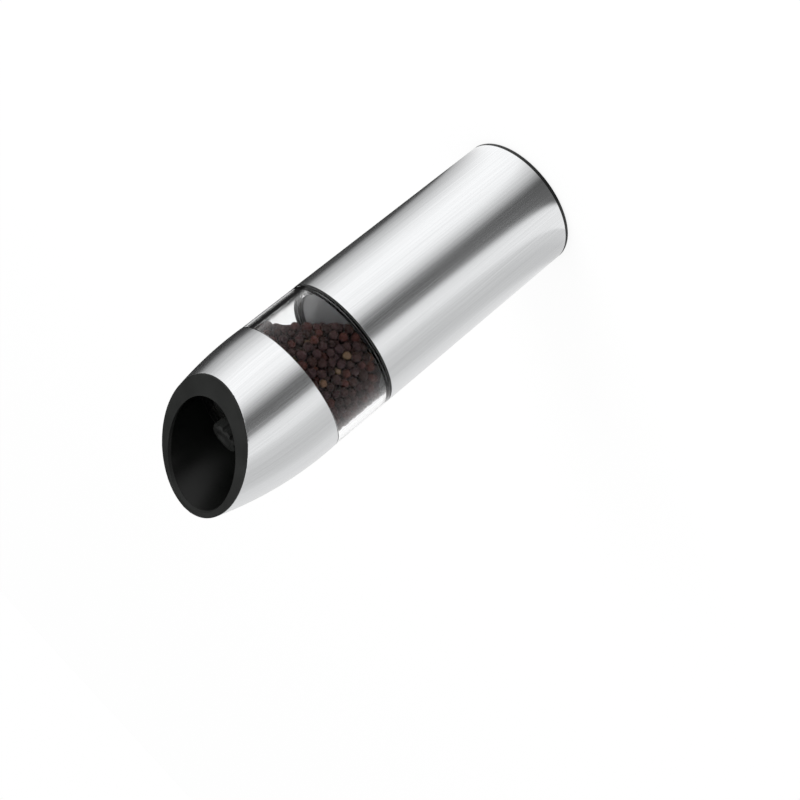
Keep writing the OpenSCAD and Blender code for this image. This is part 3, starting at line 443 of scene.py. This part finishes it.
# Places are drawn at random in the space that the heap fills.
places = []
while len(places) < CORNS:
    turn, reach = chance.uniform(0, 2 * math.pi), inner_radius * math.sqrt(chance.uniform(0.05, 1))
    height = chance.uniform(reservoir_low, reservoir_high)
    place = (reach * math.cos(turn), reach * math.sin(turn), height)
    if np.dot(place, level_up) < level - usual_radius:
        places.append(place)
places = np.array(places)

# The corns fall a little, push each other apart and stay off the walls, until they lie still.
touching = corn_radius[:, None] + corn_radius[None, :]
for _ in range(settling):
    places -= level_up * fall
    for _ in range(2):
        apart = places[:, None, :] - places[None, :, :]
        distance = np.linalg.norm(apart, axis=2) + 1e-6
        overlap = np.clip(touching - distance, 0, None)
        np.fill_diagonal(overlap, 0)
        places += push * np.einsum("ij,ijk->ik", overlap / distance, apart)
    above = np.clip(places @ level_up + corn_radius - corn_level, 0, None)
    places -= above[:, None] * level_up
    reach = np.linalg.norm(places[:, :2], axis=1)
    rim_room = rim_steep * (window_bottom + rim_rise - places[:, 2]) + rim_reach * corn_radius
    outermost = inner_radius - corn_room - np.maximum(corn_radius, rim_room)
    bound = np.clip(reach, tube_radius + corn_radius, outermost)
    places[:, :2] *= (bound / reach)[:, None]
    places[:, 2] = np.clip(places[:, 2], reservoir_low + corn_radius,
                           reservoir_high + throat_slope * (inner_radius - bound) - corn_radius)

bpy.ops.object.select_all(action="DESELECT")
bpy.ops.mesh.primitive_ico_sphere_add(subdivisions=2, radius=MM)
corn = bpy.context.object
bpy.ops.object.shade_smooth()
corn.data.attributes.new("corn_kind", "FLOAT", "POINT")
corns = []
for place, radius in zip(places, corn_radius):
    one = corn.copy()
    one.data = corn.data.copy()
    bpy.context.collection.objects.link(one)
    squash = Matrix.Diagonal((*chance.uniform(0.92, 1.06, 3), 1))
    spin = Matrix.Rotation(chance.uniform(0, math.pi), 4, Vector(chance.normal(size=3)))
    one.data.transform(Matrix.Translation(place * MM) @ spin @ squash @ Matrix.Scale(radius, 4))
    kind = chance.uniform(0, 1)
    for point in one.data.attributes["corn_kind"].data:
        point.value = kind
    corns.append(one)
bpy.data.objects.remove(corn)
bpy.ops.object.select_all(action="DESELECT")
for one in corns:
    one.select_set(True)
bpy.context.view_layer.objects.active = corns[0]
bpy.ops.object.join()
heap = bpy.context.object
heap.name = heap.data.name = "peppercorn_heap"

# Dried pepper skin: dull, dark brown to purple-black, wrinkled about every 0.8 mm.
pepper_skin, pepper_tree, pepper_shader = made_of("dried pepper skin", Roughness=0.6, IOR=1.45,
                                                 Specular_IOR_Level=0.2)
wrinkle_gap = 0.8
pepper_place = add(pepper_tree, "TexCoord").outputs["Object"]
corn_kind = add(pepper_tree, "Attribute", attribute_name="corn_kind")
skin = add(pepper_tree, "ValToRGB", {"Fac": corn_kind.outputs["Fac"]}, [
    (0.0, "#20100E"), (0.3, "#341D19"), (0.6, "#3A282A"), (0.8, "#401B17"), (0.93, "#45221C"),
    (0.96, "#542C1F"), (0.98, "#75604A"), (1.0, "#8E7A5E")])
wrinkles = add(pepper_tree, "TexVoronoi", {"Vector": pepper_place, "Scale": 1 / (wrinkle_gap * MM)})
pepper_relief = add(pepper_tree, "Bump", {"Height": wrinkles.outputs["Distance"], "Strength": 1,
                                          "Distance": 0.25 * MM})
pepper_tree.links.new(skin.outputs[0], pepper_shader.inputs["Base Color"])
pepper_tree.links.new(pepper_relief.outputs[0], pepper_shader.inputs["Normal"])
heap.data.materials.append(pepper_skin)
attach(heap, "head")
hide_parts("peppercorns")


# ---------------------------------------------------------------- grinder
# A toothed cone turns in a fixed toothed ring. Both are fired alumina ceramic, and a moulded
# housing, a three-armed bridge and a knob on a nylon bush set the gap between them.
fired_ceramic = grained("fired alumina ceramic", "#E6E3DA", "#EFECE5", 0.4, 0.01, 0.4, IOR=1.7)
dress(charcoal_nylon, "grinder_housing")
dress(fired_ceramic, "grinding_ring", "grinding_cone")
dress(black_abs, "adjuster_bridge", "adjuster_knob")
dress(natural_nylon, "adjuster_bush")


# ---------------------------------------------------------------- steel nose
# The nose is stainless steel sheet, 0.7 mm thick, spun over a former into a long curve and then cut
# off at a slant for the mouth. It is brushed along its length like the sleeve.
curve_radius = 144
nose_wall = 0.7
mouth_slant = math.radians(34.3)
ring_lip = 1.2
ring_face = 0.4
nose_bottom = extent("nose_shell")[1]
nose_length = 58
nose_stations = 40
widest = nose_bottom + 4
mouth_height = nose_bottom + 42.4
mouth_up = Vector((0, -math.sin(mouth_slant), math.cos(mouth_slant)))


def curve_at(height, inset=0.0):
    """The nose's radius at that height, in mm."""
    reach = (curve_radius - inset) ** 2 - (height - widest) ** 2
    return sleeve_radius - curve_radius + math.sqrt(reach)


def cut_mouth(piece, drop, keep_below=True, hollow=False):
    """Cuts a piece along the mouth's plane, moved back by drop, and closes the cut.

    A hollow piece's two rims are bridged, because a fill would join them at other places each run.
    """
    bpy.context.view_layer.objects.active = piece
    bpy.ops.object.mode_set(mode="EDIT")
    bpy.ops.mesh.select_all(action="SELECT")
    bpy.ops.mesh.bisect(
        plane_co=(Vector((0, 0, mouth_height)) - mouth_up * drop) * MM, plane_no=mouth_up,
        use_fill=not hollow, clear_outer=keep_below, clear_inner=not keep_below)
    if hollow:
        bpy.ops.mesh.select_all(action="DESELECT")
        bpy.ops.mesh.select_non_manifold()
        bpy.ops.mesh.bridge_edge_loops()
    bpy.ops.mesh.select_all(action="SELECT")
    bpy.ops.mesh.normals_make_consistent(inside=False)
    bpy.ops.object.mode_set(mode="OBJECT")


nose_steps = [nose_bottom + nose_length * k / nose_stations for k in range(nose_stations + 1)]
nose = turned("steel_nose", [(curve_at(h), h) for h in nose_steps]
              + [(curve_at(h, nose_wall), h) for h in reversed(nose_steps)])
cut_mouth(nose, ring_face, hollow=True)
round_edges(nose, 0.15)
nose.data.materials.append(brushed_steel)
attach(nose, "head")
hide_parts("nose_shell")


# ---------------------------------------------------------------- mouth ring and funnel
# A ring of matte black ABS finishes the slanted cut, with its rim lapped by the steel, and holds the
# funnel, a round cup of polished black polystyrene that leads the pepper past the adjusting knob.
mouth_radius = 18.6
mouth_shift = 1.2
mouth_slip = 0.1
ring = turned("mouth_ring_piece", [(curve_at(h), h) for h in nose_steps], solid=True)
cut_mouth(ring, 0)
cut_mouth(ring, ring_face, keep_below=False)
ring_root = turned("mouth_ring_root", [(curve_at(h, nose_wall + mouth_slip), h) for h in nose_steps],
                   solid=True)
cut_mouth(ring_root, ring_face / 2)
cut_mouth(ring_root, ring_lip, keep_below=False)
bore_length = 70
bore = turned("mouth_bore_cutter", [(mouth_radius, nose_bottom),
                                    (mouth_radius, nose_bottom + bore_length)],
              centre_y=-mouth_shift, solid=True)
for operation, tool in (("UNION", ring_root), ("DIFFERENCE", bore)):
    bpy.context.view_layer.objects.active = ring
    change = ring.modifiers.new("mouth ring", "BOOLEAN")
    change.operation = operation
    change.object = tool
    bpy.ops.object.modifier_apply(modifier=change.name)
    bpy.data.objects.remove(tool)
round_edges(ring, 0.15)
ring.data.materials.append(black_abs)
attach(ring, "head")
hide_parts("mouth_ring")

funnel_wall = 0.8
funnel_floor = 1.2
funnel_hole = 13.5
funnel_bottom = extent("outlet_funnel")[1]
funnel_radius = mouth_radius + mouth_slip
funnel_blank = nose_bottom + 60
funnel = turned("outlet_funnel_piece", [
    (funnel_radius + funnel_wall, funnel_bottom), (funnel_radius + funnel_wall, funnel_blank),
    (funnel_radius, funnel_blank), (funnel_radius, funnel_bottom + funnel_floor),
    (funnel_hole, funnel_bottom + funnel_floor), (funnel_hole, funnel_bottom)],
    centre_y=-mouth_shift)
cut_mouth(funnel, ring_lip + mouth_slip, hollow=True)
round_edges(funnel, 0.15)
# Polished polystyrene, dulled by pepper dust: deep black, with a weak and soft reflection.
gloss_black = grained("polished black polystyrene", "#070807", "#0A0B0A", 2.0, 0.002, 0.34,
                      IOR=1.59, Specular_IOR_Level=0.14)
funnel.data.materials.append(gloss_black)
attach(funnel, "head")
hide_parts("outlet_funnel")
